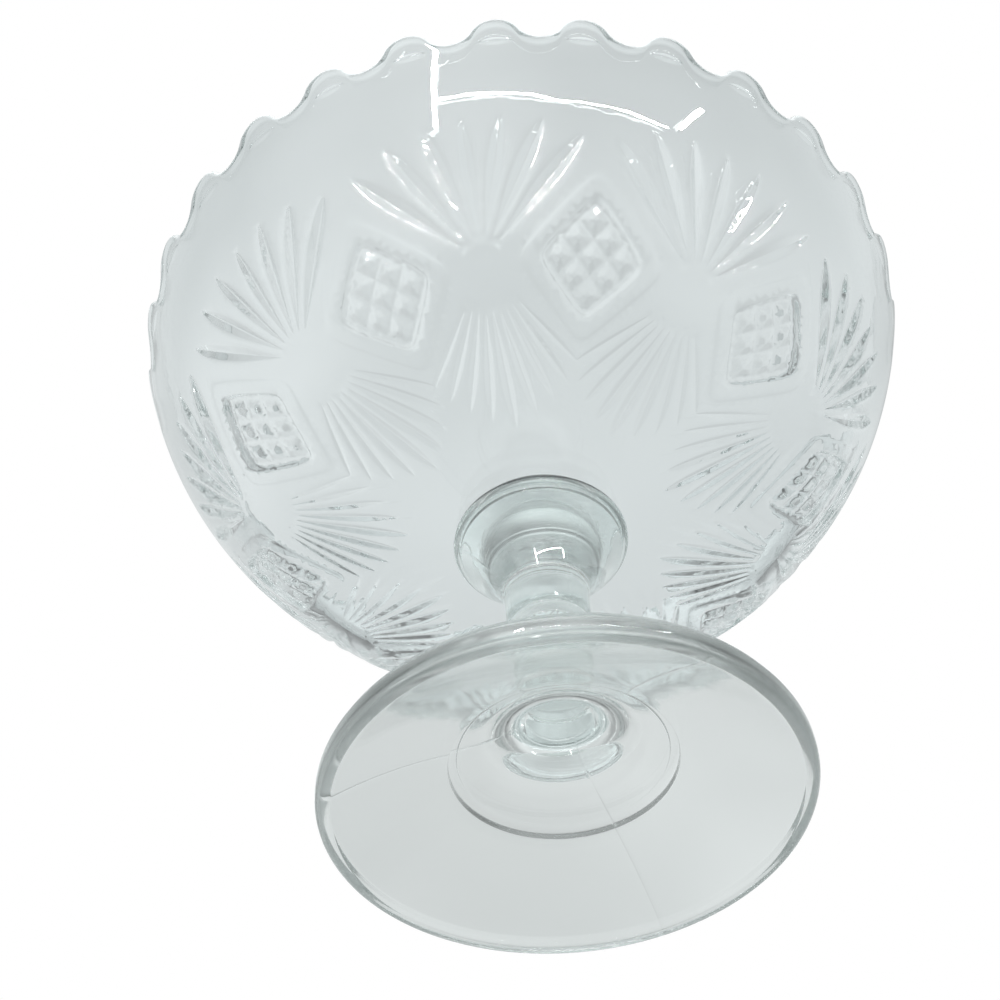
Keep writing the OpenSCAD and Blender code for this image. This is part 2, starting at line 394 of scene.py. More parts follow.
def add_diamond(lines):
    """The field's grooves, flats and hips, and the nested outlines of the border."""
    cells = DIAMOND_POINTS
    marks = [2 * k / cells - 1 for k in range(cells + 1)]
    flat = POINT_TOP_SHARE / cells
    marks += [(2 * k + 1) / cells - 1 + sign * flat for k in range(cells) for sign in (-1, 1)]
    span = np.linspace(-1, 1, FIELD_POINTS)
    for m in marks:
        for u, v in ((m + 0 * span, span), (span, m + 0 * span)):
            field_line(lines, (u - v) / 2 * HALF_W, (u + v) / 2 * HALF_H)
    for k in range(1 - cells, cells):
        room = 1 - abs(k) / cells
        field_line(lines, HALF_W * k / cells + 0 * span, span * room * HALF_H)
        field_line(lines, span * room * HALF_W, HALF_H * k / cells + 0 * span)
    bevel = BORDER_BEVEL
    for out in (0, bevel / 2, bevel, BORDER_W - bevel, BORDER_W - bevel / 2, BORDER_W):
        border_line(lines, out)


def field_line(lines, x, y):
    """The part of a groove's line that is in the field, on the near side of its axis."""
    keep = (x > -PAST_AXIS) & (border_edge(x, y) < PAST_FIELD)
    if keep.sum() > 1:
        lines.add(*diamond_spot(x[keep], y[keep]))


def border_line(lines, out):
    """The curve at this distance out from the field's edge, on the near side of the axis."""
    soft = CORNER_SOFT
    q = out / DIAMOND_SLANT + 1 + CORNER_SHARE
    top = math.sqrt(((q - soft / HALF_W) * HALF_H) ** 2 - soft * soft)
    y = top * np.sin(np.linspace(-math.pi / 2, math.pi / 2, BORDER_POINTS))
    x = (q - np.sqrt(y * y + soft * soft) / HALF_H) * HALF_W
    x = np.sqrt(np.maximum(x * x - soft * soft, 0))
    lines.add(*diamond_spot(x, y))


def add_grid(lines):
    """Plain points between the edges, in rows that are closer where the face is narrower."""
    rows = int((S_HIGH - S_LOW) / GRID)
    for i in range(1, rows):
        s = S_LOW + (S_HIGH - S_LOW) * i / rows
        n = max(4, int(round(HALF * float(outer_at(s)[0]) / GRID)))
        shares = np.arange(1, n) / n if i % 2 else (np.arange(n) + 0.5) / n
        shares = np.concatenate([[0.0], shares, [1.0]])
        lines.add(shares * HALF, s + 0 * shares, joined=False)


def flat_wedge():
    """The wedge's points, flat, and its triangles."""
    lines = Lines()
    top = np.linspace(0, HALF, COLUMNS // FAN_N // 2 + 1)
    lines.add(top, S_HIGH + 0 * top)
    low = np.linspace(0, HALF, UNDER_COLUMNS // FAN_N // 2 + 1)
    lines.add(low, S_LOW + 0 * low)
    rise = np.linspace(S_LOW, S_HIGH, int((S_HIGH - S_LOW) / GRID) + 1)
    for edge in (0.0, HALF):
        lines.add(edge + 0 * rise, rise)
    for blade in BLADES:
        add_blade(lines, blade, False)
        add_blade(lines, blade, True)
    add_diamond(lines)
    add_grid(lines)
    points = [Vector(p) for p in lines.points]
    out = delaunay_2d_cdt(points, lines.edges, [], 0, MERGE, False)
    flat = np.array([tuple(p) for p in out[0]])
    faces = np.array([f for f in out[2] if len(f) == 3])
    x, y = flat[faces].mean(axis=1).T
    near = 1e-4
    inside = (x > near) & (x < HALF * CHART - near) & (y > S_LOW + near) & (y < S_HIGH - near)
    return flat, faces[inside]


def relief_band():
    """The whole decorated band: one wedge, its mirror image, and nine turns of both."""
    flat, faces = flat_wedge()
    azimuth, s = flat[:, 0] / CHART, flat[:, 1]
    for edge in (0.0, HALF):
        azimuth = np.where(np.abs(azimuth - edge) < ON_SIDE, edge, azimuth)
    depth = relief(azimuth, s)
    to_edge = np.minimum(np.abs(s - S_HIGH), np.abs(s - S_LOW))
    depth = np.where(to_edge < ON_EDGE, 0.0, depth)
    r, z, slope = outer_at(s)
    r, z = r - depth * np.sin(slope), z + depth * np.cos(slope)
    used = np.zeros(len(r), bool)
    used[faces] = True
    number = np.cumsum(used) - 1
    r, z, azimuth, faces = r[used], z[used], azimuth[used], number[faces]
    parts, whole = [], []
    for k in range(FAN_N):
        axis = -math.pi / 2 + 2 * HALF * k
        for side in (1, -1):
            whole.append((faces if side > 0 else faces[:, ::-1]) + len(parts) * len(r))
            parts.append(around(r, axis + side * azimuth, z))
    return np.concatenate(parts), np.concatenate(whole)


# Plain bands, built from rings of points


class Shell:
    """Rings of points and the faces between them."""

    def __init__(self):
        self.points, self.faces, self.count = [], [], 0

    def ring(self, points):
        """Adds a ring. Returns its first point's number and how many it has."""
        first = self.count
        self.points.append(points)
        self.count += len(points)
        return first, len(points)

    def join(self, a, b):
        """Faces between two rings, the one with as many points as the other or several times more."""
        (a0, na), (b0, nb) = a, b
        if na == nb:
            steps = [(i, (i + 1) % na) for i in range(na)]
            self.faces += [(a0 + i, a0 + j, b0 + j, b0 + i) for i, j in steps]
        elif na > nb:
            self.fan_out(a, b, False)
        else:
            self.fan_out(b, a, True)

    def fan_out(self, many, few, flip):
        """Triangles between a ring of many points and one with a whole part of them."""
        (m0, nm), (f0, nf) = many, few
        k = nm // nf
        for i in range(nf):
            near, far = f0 + i, f0 + (i + 1) % nf
            fine = [m0 + (i * k + j) % nm for j in range(k + 1)]
            half = k // 2
            for j in range(half):
                self.tri((fine[j], fine[j + 1], near), flip)
            self.tri((near, fine[half], far), not flip)
            for j in range(half, k):
                self.tri((fine[j], fine[j + 1], far), flip)

    def tri(self, face, flip):
        self.faces.append(face[::-1] if flip else face)

    def cap(self, ring, point, flip):
        """Triangles from a ring to one point."""
        tip, _ = self.ring(np.array([point]))
        first, n = ring
        for i in range(n):
            self.tri((first + i, first + (i + 1) % n, tip), flip)

    def turn(self, r, z, azimuths):
        """Rings at each (r, z), joined from the first to the last."""
        rings = [self.ring(around(ri + 0 * azimuths, azimuths, zi)) for ri, zi in zip(r, z)]
        for a, b in zip(rings, rings[1:]):
            self.join(a, b)
        return rings


def columns(n):
    """The azimuths of n even columns."""
    return -math.pi / 2 + np.arange(n) * 2 * math.pi / n


def rim_height(azimuth):
    """Height of the scalloped rim: large arcs over the tips and small ones in the valleys."""
    pitch = (BOWL_D - 2 * WALL_T) * math.tan(math.pi / SCALLOP_N)
    wave = (pitch * pitch / 4 + SCALLOP_DROP**2) / (2 * SCALLOP_DROP)
    tip_r = wave * SCALLOP_TIP_SHARE
    valley_r = wave - tip_r
    turn = (azimuth + math.pi / 2) / (2 * math.pi / SCALLOP_N)
    x = np.abs(turn - np.round(turn)) * pitch
    joint = pitch / 2 * (1 - SCALLOP_TIP_SHARE)
    tip = RIM_Z - tip_r + np.sqrt(np.maximum(tip_r**2 - (pitch / 2 - x) ** 2, 0))
    valley = RIM_Z - SCALLOP_DROP + valley_r - np.sqrt(np.maximum(valley_r**2 - x * x, 0))
    return np.where(x < joint, valley, tip)


PLAIN_ROWS = 17  # rings of the plain band, and the power that crowds them toward the rim
PLAIN_CROWD = 0.9
LIP_ROWS = 17
DENT_ROWS = 33  # rings inside the rim, and the power that crowds them toward the lip
DENT_CROWD = 1.2
DENT_BAND = 12.0  # how far below the rim's top they end
INSIDE_ROWS = 61
FLOOR_ROWS = 8
FLOOR_R = 14.0  # inside this radius the rings have fewer points
MIDDLE_R = 0.6  # radius of the last ring round the middle
UNDER_ROWS = 7
SEAT_SOFT = 0.3  # how far the seat's edge is rounded off to either side
SEAT_RINGS = (15.0, 8.0, 2.0)  # radii of the rings in the seat


def wall_rows(shell):
    """The plain band, the lip and the inside of the rim. Returns the lowest outer and inner rings."""
    azimuths = columns(COLUMNS)
    top = rim_height(azimuths)
    slope = slope_at(s_of_wall_height(RIM_Z))
    turns = np.linspace(0, math.pi, LIP_ROWS)
    aside = np.sign(np.cos(turns)) * np.abs(np.cos(turns)) ** LIP_SQUARE
    rise = LIP_H * np.maximum(np.sin(turns), 0) ** LIP_SQUARE
    half_lean = (WALL_T * math.cos(slope) + FLOOR_T - WALL_T) / 2
    s_edge = s_of_wall_height(top - half_lean - (rise * math.sin(slope) - aside * half_lean).max())
    rings = []
    for share in np.linspace(0, 1, PLAIN_ROWS) ** PLAIN_CROWD:
        s = S_HIGH + share * (s_edge - S_HIGH)
        r, z, _ = outer_at(s)
        rings.append(shell.ring(around(r, azimuths, z)))
    ro, zo, slope = outer_at(s_edge)
    ri, zi, _ = inner_at(s_edge)
    for across, up in zip(aside[1:-1], rise[1:-1]):
        r = (ro + ri) / 2 + across * (ro - ri) / 2 + up * np.cos(slope)
        z = (zo + zi) / 2 + across * (zo - zi) / 2 + up * np.sin(slope)
        rings.append(shell.ring(around(r, azimuths, z)))
    s_in = s_of_wall_height(RIM_Z - DENT_BAND)
    for share in np.linspace(0, 1, DENT_ROWS) ** DENT_CROWD:
        s = s_edge + share * (s_in - s_edge)
        r, z, slope = inner_at(s)
        dent = tip_dent(azimuths, s_edge.max() - s)
        r, z = r + dent * np.sin(slope), z - dent * np.cos(slope)
        rings.append(shell.ring(around(r, azimuths, z)))
    for a, b in zip(rings, rings[1:]):
        shell.join(a, b)
    return rings[-1], s_in


def tip_dent(azimuths, below):
    """Depth of the small dents inside the tips, this far below the lip's inner edge."""
    turn = (azimuths + math.pi / 2) / (2 * math.pi / SCALLOP_N) - 0.5
    aside = np.abs(turn - np.round(turn)) * math.pi * BOWL_D / SCALLOP_N / (DENT_W / 2)
    lens = np.clip(1 - aside**2, 0, 1)
    across = np.abs(below - DENT_FALL) / (DENT_H / 2) / np.maximum(lens, LEAST)
    return DENT_T * lens * np.clip(1 - across**2, 0, 1)


def inside_rows(shell, ring, s_in):
    """The smooth inside, down to the middle of the floor."""
    s_floor = float(s_of_under_radius(FLOOR_R))
    s = np.linspace(float(s_in), s_floor, INSIDE_ROWS + 1)[1:]
    r, z, _ = inner_at(s)
    rings = shell.turn(r, z, columns(INSIDE_COLUMNS))
    shell.join(ring, rings[0])
    s = np.linspace(s_floor, float(s_of_under_radius(MIDDLE_R)), FLOOR_ROWS + 1)[1:]
    r, z, _ = inner_at(s)
    low = shell.turn(r, z, columns(FLOOR_COLUMNS))
    shell.join(rings[-1], low[0])
    tip = UNDER_Z - UNDER_R + FLOOR_T
    shell.cap(low[-1], (0, 0, tip), False)


def underside_rows(shell):
    """The plain underside from the relief in to the seat, and the seat itself."""
    s = np.linspace(S_LOW, float(s_of_under_radius(SEAT_D / 2 + SEAT_SOFT)), UNDER_ROWS)
    r, z, _ = outer_at(s)
    seat = [SEAT_D / 2 - SEAT_SOFT, *SEAT_RINGS]
    r, z = np.concatenate([r, seat]), np.concatenate([z, [SEAT_Z] * len(seat)])
    rings = shell.turn(r[::-1], z[::-1], columns(UNDER_COLUMNS))
    shell.cap(rings[0], (0, 0, SEAT_Z), True)


def bowl_mesh():
    """The whole bowl: the decorated band, then the plain bands."""
    points, faces = relief_band()
    shell = Shell()
    ring, s_in = wall_rows(shell)
    inside_rows(shell, ring, s_in)
    underside_rows(shell)
    rest = np.concatenate(shell.points)
    faces = [tuple(int(i) for i in f) for f in faces]
    faces += [tuple(i + len(points) for i in f) for f in shell.faces]
    return np.concatenate([points, rest]), faces


# Turned pieces

BASE_SOFT = 0.16  # how far the corners of the base are rounded
WAFER_SOFT = 0.08
COARSE = 8.0  # degrees between the points of small rounds
FOOT_CORNER_TURN = 50.0  # degrees of the round on top of the foot's edge
FOOT_CORNER_SHARE = 0.6  # share of that round's size at which the dome starts
WAFER_LONGEST = 4.0  # most between two points of the wafer's section


def arc(cx, cz, size, a0, a1, step=2.0):
    """Points of a circle's part from one angle to another, in degrees."""
    n = max(3, int(abs(a1 - a0) / step) + 1)
    a = np.radians(np.linspace(a0, a1, n))
    return [(cx + size * math.cos(t), cz + size * math.sin(t)) for t in a]


def soften(path, spread, step=0.1):
    """The path at even steps, with its corners rounded by a weighted mean over spread."""
    p = np.array(path, float)
    keep = np.concatenate([[True], np.linalg.norm(np.diff(p, axis=0), axis=1) > 1e-6])
    p = p[keep]
    length = np.concatenate([[0], np.cumsum(np.linalg.norm(np.diff(p, axis=0), axis=1))])
    at = np.linspace(0, length[-1], int(length[-1] / step) + 1)
    p = np.stack([np.interp(at, length, p[:, i]) for i in (0, 1)], 1)
    reach = int(3 * spread / step)
    weights = np.exp(-0.5 * (np.arange(-reach, reach + 1) * step / spread) ** 2)
    weights /= weights.sum()
    before = 2 * p[0] - p[reach:0:-1]
    after = 2 * p[-1] - p[-2 : -reach - 2 : -1]
    long = np.concatenate([before, p, after])
    return np.stack([np.convolve(long[:, i], weights, "valid") for i in (0, 1)], 1)


def thin_out(path, turn=5.0, longest=2.2):
    """Fewer points where the path is straight."""
    kept, last_way = [0], None
    for i in range(1, len(path) - 1):
        way = path[i + 1] - path[i]
        way = math.atan2(way[1], way[0])
        if last_way is None:
            last_way = way
        bend = abs((way - last_way + math.pi) % (2 * math.pi) - math.pi)
        gone = np.linalg.norm(path[i] - path[kept[-1]])
        if math.degrees(bend) > turn or gone > longest:
            kept.append(i)
            last_way = way
    return path[kept + [len(path) - 1]]


def base_path():
    """The base's section: from the hollow's middle out, round the foot and up to the top's middle."""
    foot_r, stem_r, neck_r = FOOT_D / 2, STEM_D / 2, NECK_D / 2
    flare_x = stem_r + FLARE_ROUND
    flare_z = DOME_Z + math.sqrt((DOME_R + FLARE_ROUND) ** 2 - flare_x**2)
    hollow_r, under_r = HOLLOW_D / 2, DOME_R - DOME_T
    edge_z = DOME_Z + math.sqrt(under_r**2 - hollow_r**2) + HOLLOW_STEP
    rise = HOLLOW_H - edge_z
    crown_r = (hollow_r**2 + rise**2) / (2 * rise)
    bell_top = BASE_H - FLANGE_T
    neck_top = bell_top - BELL_H
    neck_z = neck_top - NECK_H
    crown_end = math.degrees(math.acos((hollow_r - STEP_GROOVE_W) / crown_r))
    under_start = math.degrees(math.acos(hollow_r / under_r))
    under_end = math.degrees(math.asin(-DOME_Z / under_r))
    corner = FOOT_EDGE_ROUND
    dome_start = math.degrees(math.acos((foot_r - corner * FOOT_CORNER_SHARE) / DOME_R))
    flare_way = math.degrees(math.atan2(flare_z - DOME_Z, flare_x))
    path = arc(0, HOLLOW_H - crown_r, crown_r, 90, crown_end)
    path += [(path[-1][0], path[-1][1] + STEP_GROOVE_T), (hollow_r, edge_z + STEP_GROOVE_T)]
    path += arc(0, DOME_Z, under_r, under_start, under_end)
    path += arc(foot_r - corner, corner, corner, -90, 0, COARSE)
    path += arc(foot_r - corner, FOOT_EDGE_H - corner, corner, 0, FOOT_CORNER_TURN, COARSE)
    path += arc(0, DOME_Z, DOME_R, dome_start, flare_way)
    path += arc(flare_x, flare_z, FLARE_ROUND, 180 + flare_way, 180)
    slope = RING_GROOVE_W / 2 / RING_GROOVE_T
    path += [(stem_r, neck_z - RING_GROOVE_W / 2), (stem_r - RING_GROOVE_T, neck_z)]
    path += [(neck_r, neck_z + (neck_r - stem_r + RING_GROOVE_T) * slope), (neck_r, neck_top)]
    edge_r = (FLANGE_D - FLANGE_T) / 2
    bell_end = math.degrees(math.acos((neck_r + BELL_ROUND - edge_r) / BELL_ROUND))
    path += arc(neck_r + BELL_ROUND, neck_top, BELL_ROUND, 180, 180 - bell_end)
    path += arc(edge_r, BASE_H - FLANGE_T / 2, FLANGE_T / 2, -90, 90, COARSE)
    path += [(0.0, BASE_H)]
    return path


def wafer_path():
    """The joining glass's section, a round edge between two flat faces."""
    half = JOINT_T / 2 + FUSE
    r = JOINT_D / 2 - half
    z = BASE_H + JOINT_T / 2
    return [(0.0, z - half)] + arc(r, z, half, -90, 90, COARSE) + [(0.0, z + half)]


SEAM_STEPS = (-1.0, -0.45, 0.0, 0.45, 1.0)  # points across a seam, in shares of SEAM_W
SEAM_TURN = 14.0  # most degrees from a seam's middle to its side, near the axis
AXIS_R = 1e-3  # least radius that a width is divided by
SEAM_END = 0.4  # how far below the flange's top the seams stop
BASE_SPREAD = 80  # points of a ring between two seams
WAFER_SPREAD = 40


def seam_columns(r, spread):
    """Azimuths of a ring's points, crowded over each seam and even between them, and their rise."""
    wide = min(SEAM_W / max(r, AXIS_R), math.radians(SEAM_TURN))
    azimuths, over = [], []
    for seam, stands_out in zip(SEAM_AZIMUTHS, SEAM_SHARES):
        here = math.radians(seam)
        gap = 2 * math.pi / len(SEAM_AZIMUTHS) - 2 * wide
        azimuths += [here + step * wide for step in SEAM_STEPS]
        over += [stands_out * (1 - abs(step)) for step in SEAM_STEPS]
        azimuths += [here + wide + gap * (j + 1) / (spread + 1) for j in range(spread)]
        over += [0.0] * spread
    return np.array(azimuths), np.array(over)


def turned_mesh(path, raised, spread):
    """A turned piece. raised is how much of the seams shows at each point of its path."""
    shell = Shell()
    inner = path[1:-1]
    way = np.gradient(path, axis=0)[1:-1]
    out = np.stack([way[:, 1], -way[:, 0]], 1)
    out /= np.linalg.norm(out, axis=1)[:, None]
    rings = []
    for (r, z), n, share in zip(inner, out, raised[1:-1]):
        azimuths, over = seam_columns(r, spread)
        lift = over * share * SEAM_RAISE
        rings.append(shell.ring(around(r + lift * n[0], azimuths, z + lift * n[1])))
    for a, b in zip(rings, rings[1:]):
        shell.join(a, b)
    shell.cap(rings[0], (0, 0, path[0][1]), True)
    shell.cap(rings[-1], (0, 0, path[-1][1]), False)
    return np.concatenate(shell.points), shell.faces


def base_mesh():
    """The base, with its seams on the outside only."""
    path = thin_out(soften(base_path(), BASE_SOFT))
    r, z = path.T
    outside = np.arange(len(path)) > np.argmax(r)
    raised = np.where(outside & (z < BASE_H - SEAM_END), 1.0, 0.0)
    return turned_mesh(path, raised, BASE_SPREAD)


def wafer_mesh():
    """The joining glass, without seams."""
    path = thin_out(soften(wafer_path(), WAFER_SOFT), longest=WAFER_LONGEST)
    return turned_mesh(path, 0 * path[:, 0], WAFER_SPREAD)


# Materials

IOR = 1.5
# Tints, from the darkest to the clearest, and how much light the depth takes
BOWL_TINTS = ((0.915, 0.95, 0.953), (0.93, 0.965, 0.968))
JOINT_TINTS = ((0.97, 0.98, 0.98), (0.98, 0.99, 0.99))
BASE_TINTS = ((0.94, 0.96, 0.95), (0.955, 0.975, 0.965))
DEPTH_TINT = (0.80, 0.85, 0.84, 1)
BOWL_DENSITY = 6.0
BASE_DENSITY = 10.0
TINT_SCALE = 18.0
TINT_FROM, TINT_TO = 0.3, 0.7  # levels of the noise for the two tints
HAZE = 0.03  # greatest roughness of the polished skin
WAVE_SCALE = 55.0
WAVE_SHARE = 0.25  # strength of the waves in the skin
WAVE_H = 0.0004  # and their height, in metres
WORN = 0.07  # roughness of the handled skin on top of the foot
WORN_TOP = 26.0  # heights between which the wear fades in
WORN_FULL = 16.0
WORN_IN = 2.6  # depths under the dome's skin between which it fades out
WORN_OUT = 1.0


def node(tree, kind, **values):
    """A shader node, with each value set on the input of that name or else on the node."""
    made = tree.nodes.new(kind)
    for name, value in values.items():
        if name in made.inputs:
            made.inputs[name].default_value = value
        else:
            setattr(made, name, value)
    return made


def glass(name, tint, clear, density, worn=0.0):
    """Clear pressed glass: a faint tint that wanders, a fire-polished skin with slow waves
    and a green-grey depth. worn is how rough the skin is on top of the foot."""
    made = bpy.data.materials.new(name)
    made.use_nodes = True
    tree = made.node_tree
    tree.nodes.clear()
    out = node(tree, "ShaderNodeOutputMaterial")
    skin = node(tree, "ShaderNodeBsdfPrincipled", IOR=IOR)
    skin.inputs["Transmission Weight"].default_value = 1.0
    where = node(tree, "ShaderNodeTexCoord")
    drift = node(tree, "ShaderNodeTexNoise", Scale=TINT_SCALE, Detail=2.0, Roughness=0.5)
    colour = node(tree, "ShaderNodeValToRGB")
    stops = ((TINT_FROM, tint), (TINT_TO, clear))
    for stop, (position, shade) in zip(colour.color_ramp.elements, stops):
        stop.position, stop.color = position, (*shade, 1)
    haze = node(tree, "ShaderNodeMapRange")
    haze.inputs["To Min"].default_value = 0.0
    haze.inputs["To Max"].default_value = HAZE
    height = node(tree, "ShaderNodeSeparateXYZ")
    low = node(tree, "ShaderNodeMapRange")
    low.inputs["From Min"].default_value = WORN_TOP * MM
    low.inputs["From Max"].default_value = WORN_FULL * MM
    reach = node(tree, "ShaderNodeVectorMath", operation="DISTANCE")
    reach.inputs[1].default_value = (0, 0, DOME_Z * MM)
    skin_deep = node(tree, "ShaderNodeMapRange")
    skin_deep.inputs["From Min"].default_value = (DOME_R - WORN_IN) * MM
    skin_deep.inputs["From Max"].default_value = (DOME_R - WORN_OUT) * MM
    skin_deep.inputs["To Max"].default_value = worn
    wear = node(tree, "ShaderNodeMath", operation="MULTIPLY_ADD")
    waves = node(tree, "ShaderNodeTexNoise", Scale=WAVE_SCALE, Detail=3.0, Roughness=0.45)
    bump = node(tree, "ShaderNodeBump", Strength=WAVE_SHARE, Distance=WAVE_H)
    depth = node(tree, "ShaderNodeVolumeAbsorption")
    depth.inputs["Color"].default_value = DEPTH_TINT
    depth.inputs["Density"].default_value = density
    link = tree.links.new
    link(where.outputs["Object"], drift.inputs["Vector"])
    link(where.outputs["Object"], waves.inputs["Vector"])
    link(drift.outputs["Fac"], colour.inputs["Fac"])
    link(colour.outputs["Color"], skin.inputs["Base Color"])
    link(drift.outputs["Fac"], haze.inputs["Value"])
    link(where.outputs["Object"], height.inputs["Vector"])
    link(height.outputs["Z"], low.inputs["Value"])
    link(where.outputs["Object"], reach.inputs[0])
    link(reach.outputs["Value"], skin_deep.inputs["Value"])
    link(low.outputs["Result"], wear.inputs[0])
    link(skin_deep.outputs["Result"], wear.inputs[1])
    link(haze.outputs["Result"], wear.inputs[2])
    link(wear.outputs["Value"], skin.inputs["Roughness"])
    link(waves.outputs["Fac"], bump.inputs["Height"])
    link(bump.outputs["Normal"], skin.inputs["Normal"])
    link(skin.outputs["BSDF"], out.inputs["Surface"])
    link(depth.outputs["Volume"], out.inputs["Volume"])
    return made


def piece(name, mesh, cad_node, material):
    """A piece of the model that stands for a CAD node."""
    points, faces = mesh
    data = bpy.data.meshes.new(name)
    data.from_pydata((points * MM).tolist(), [], faces)
    made = bpy.data.objects.new(name, data)
    bpy.context.scene.collection.objects.link(made)
    weld(data)
    data.shade_smooth()
    data.materials.append(material)
    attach(made, "root")
    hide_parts(cad_node)
    return made


def weld(data):
    """Joins the parts of a mesh where they meet and turns all its faces outward."""
    work = bmesh.new()
    work.from_mesh(data)
    bmesh.ops.remove_doubles(work, verts=work.verts, dist=MERGE * MM)
    bmesh.ops.dissolve_degenerate(work, edges=work.edges, dist=SLIVER * MM)
    bmesh.ops.recalc_face_normals(work, faces=work.faces)
    work.to_mesh(data)
    work.free()


# Studio

# The room: how bright it is toward each corner of a dodecahedron, as seen through the glass
# and as the glass mirrors it. The corners come in the order of room_corners.
ROOM_LIGHT = (
    (0.28, 0.90),
    (0.53, 0.16),
    (0.28, 0.86),
    (0.44, 0.67),
    (0.28, 0.88),
    (0.63, 0.10),
    (0.28, 0.43),
    (0.43, 0.52),
    (0.28, 0.17),
    (0.22, 2.11),
    (0.22, 2.04),
    (0.32, 2.61),
    (0.22, 0.31),
    (0.22, 0.35),
    (0.28, 0.33),
    (0.22, 1.41),
    (0.22, 1.00),
    (0.36, 0.10),
    (0.30, 0.55),
    (0.31, 0.54),
)
CORNER_SPREAD = (0.643, 0.996)  # cosines between which a corner's light fades in
# Darker and lighter spots behind the bowl, seen but not mirrored: direction and change
ROOM_SPOTS = (
    ((-0.86, 0.50, -0.09), -0.12),
    ((-0.59, 0.81, -0.09), -0.25),
    ((-0.21, 0.97, -0.09), -0.06),
    ((0.21, 0.97, -0.09), -0.13),
    ((0.59, 0.81, -0.09), -0.22),
    ((0.86, 0.50, -0.09), -0.21),
    ((-0.75, 0.43, -0.50), -0.31),
    ((-0.18, 0.85, -0.50), -0.29),
    ((0.18, 0.85, -0.50), -0.18),
    ((0.51, 0.70, -0.50), -0.28),
    ((0.75, 0.43, -0.50), -0.11),
    ((-0.44, 0.37, -0.82), -0.08),
    ((-0.17, 0.55, -0.82), 0.50),
    ((0.44, 0.37, -0.82), 0.05),
    ((0.40, 0.85, 0.34), 0.08),
)
SPOT_SPREAD = (0.9135, 0.9994)  # the same for a spot
ROOM_TINT = (0.975, 1.01, 1.015)


def room_corners():
    """The corners of a dodecahedron: a cube's, then those of three golden rectangles."""
    golden = (1 + math.sqrt(5)) / 2
    corners = [(x, y, z) for x in (-1, 1) for y in (-1, 1) for z in (-1, 1)]
    for a in (-1, 1):
        for b in (-1, 1):
            corners += [
                (0, a / golden, b * golden),
                (a / golden, b * golden, 0),
                (a * golden, 0, b / golden),
            ]
    return corners


def toward(tree, way, direction, spread):
    """0 to 1 as a ray of the world comes round to a direction."""
    made = node(tree, "ShaderNodeVectorMath", operation="DOT_PRODUCT")
    tree.links.new(way, made.inputs[0])
    made.inputs[1].default_value = Vector(direction).normalized()
    fade = node(tree, "ShaderNodeMapRange", interpolation_type="SMOOTHSTEP")
    fade.inputs["From Min"].default_value, fade.inputs["From Max"].default_value = spread
    tree.links.new(made.outputs["Value"], fade.inputs["Value"])
    return fade.outputs["Result"]


def add_light(tree, total, lobe, seen, mirrored):
    """Adds a lobe to the running total of seen light, X, and mirrored light, Y."""
    made = node(tree, "ShaderNodeVectorMath", operation="MULTIPLY_ADD")
    tree.links.new(lobe, made.inputs[0])
    made.inputs[1].default_value = (seen, mirrored, 0)
    if total:
        tree.links.new(total, made.inputs[2])
    return made.outputs["Vector"]


def world_light():
    """A white background, and a pale room for what the glass shows and mirrors."""
    world = bpy.data.worlds.new("studio")
    bpy.context.scene.world = world
    world.use_nodes = True
    tree = world.node_tree
    tree.nodes.clear()
    link = tree.links.new
    out = node(tree, "ShaderNodeOutputWorld")
    room = node(tree, "ShaderNodeBackground")
    room.inputs["Color"].default_value = (*ROOM_TINT, 1)
    white = node(tree, "ShaderNodeBackground", Strength=1.0)
    white.inputs["Color"].default_value = (1, 1, 1, 1)
    path = node(tree, "ShaderNodeLightPath")
    way = node(tree, "ShaderNodeTexCoord").outputs["Generated"]
    total = None
    for corner, (seen, mirrored) in zip(room_corners(), ROOM_LIGHT):
        total = add_light(tree, total, toward(tree, way, corner, CORNER_SPREAD), seen, mirrored)
    for direction, change in ROOM_SPOTS:
        total = add_light(tree, total, toward(tree, way, direction, SPOT_SPREAD), change, 0)
    parts = node(tree, "ShaderNodeSeparateXYZ")
    link(total, parts.inputs["Vector"])
    level = node(tree, "ShaderNodeMix", data_type="FLOAT")
    link(path.outputs["Is Reflection Ray"], level.inputs["Factor"])
    link(parts.outputs["X"], level.inputs["A"])
    link(parts.outputs["Y"], level.inputs["B"])
    link(level.outputs["Result"], room.inputs["Strength"])
    mix = node(tree, "ShaderNodeMixShader")
    link(path.outputs["Is Camera Ray"], mix.inputs["Fac"])
    link(room.outputs["Background"], mix.inputs[1])
    link(white.outputs["Background"], mix.inputs[2])
    link(mix.outputs["Shader"], out.inputs["Surface"])


FLOOR_SIZE = 1.6  # from the middle to each side, in metres
FLOOR_Z = -0.0004  # just under the foot
FLOOR_TINT = (0.86, 0.87, 0.87, 1)


